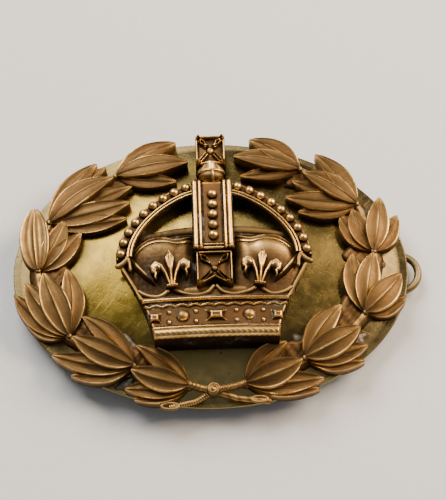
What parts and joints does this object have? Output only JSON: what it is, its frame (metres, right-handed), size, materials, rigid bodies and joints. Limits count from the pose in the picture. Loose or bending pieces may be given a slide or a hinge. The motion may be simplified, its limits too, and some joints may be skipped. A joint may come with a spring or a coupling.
{
  "type": "cap badge",
  "caption": "Oval cap badge: a crown inside a laurel wreath on a domed brass plate, held together by wire lugs and a split pin behind.",
  "frame": {"origin": "middle of the badge's outline, eye of the split pin included, at the height of the floor under its two wire lugs, with the badge lying on its back", "axes": "+X along the plate toward the eye of the split pin, +Y toward the cross on top of the crown, +Z out of the front of the badge"},
  "size_m": [0.0706, 0.0511, 0.0117],
  "materials": {
    "sheet_brass": "satin, tarnished toward olive, fine scratches",
    "gilding_metal": "aged rose-brown, worn bright on raised edges",
    "crown_gilding_metal": "aged rose-brown, polished on raised parts",
    "copper_wire": "dull copper with solder at the ends",
    "brass_wire": "dull yellow drawn wire"
  },
  "bodies": {
    "badge": {"backing_plate": "sheet_brass", "laurel_branch_left": "gilding_metal", "laurel_branch_right": "gilding_metal", "stem_tie": "gilding_metal", "crown_band": "crown_gilding_metal", "crown_cap": "crown_gilding_metal", "crown_arch_left": "crown_gilding_metal", "crown_arch_right": "crown_gilding_metal", "crown_arch_centre": "crown_gilding_metal", "orb_and_cross": "crown_gilding_metal", "lug_left": "copper_wire", "lug_right": "copper_wire"},
    "pin": {"split_pin": "brass_wire"}
  },
  "joints": [
    {"name": "pin_draw", "type": "slide", "parent": "badge", "child": "pin", "axis": [1, 0, 0], "range_m": [0, 0.066]}
  ]
}
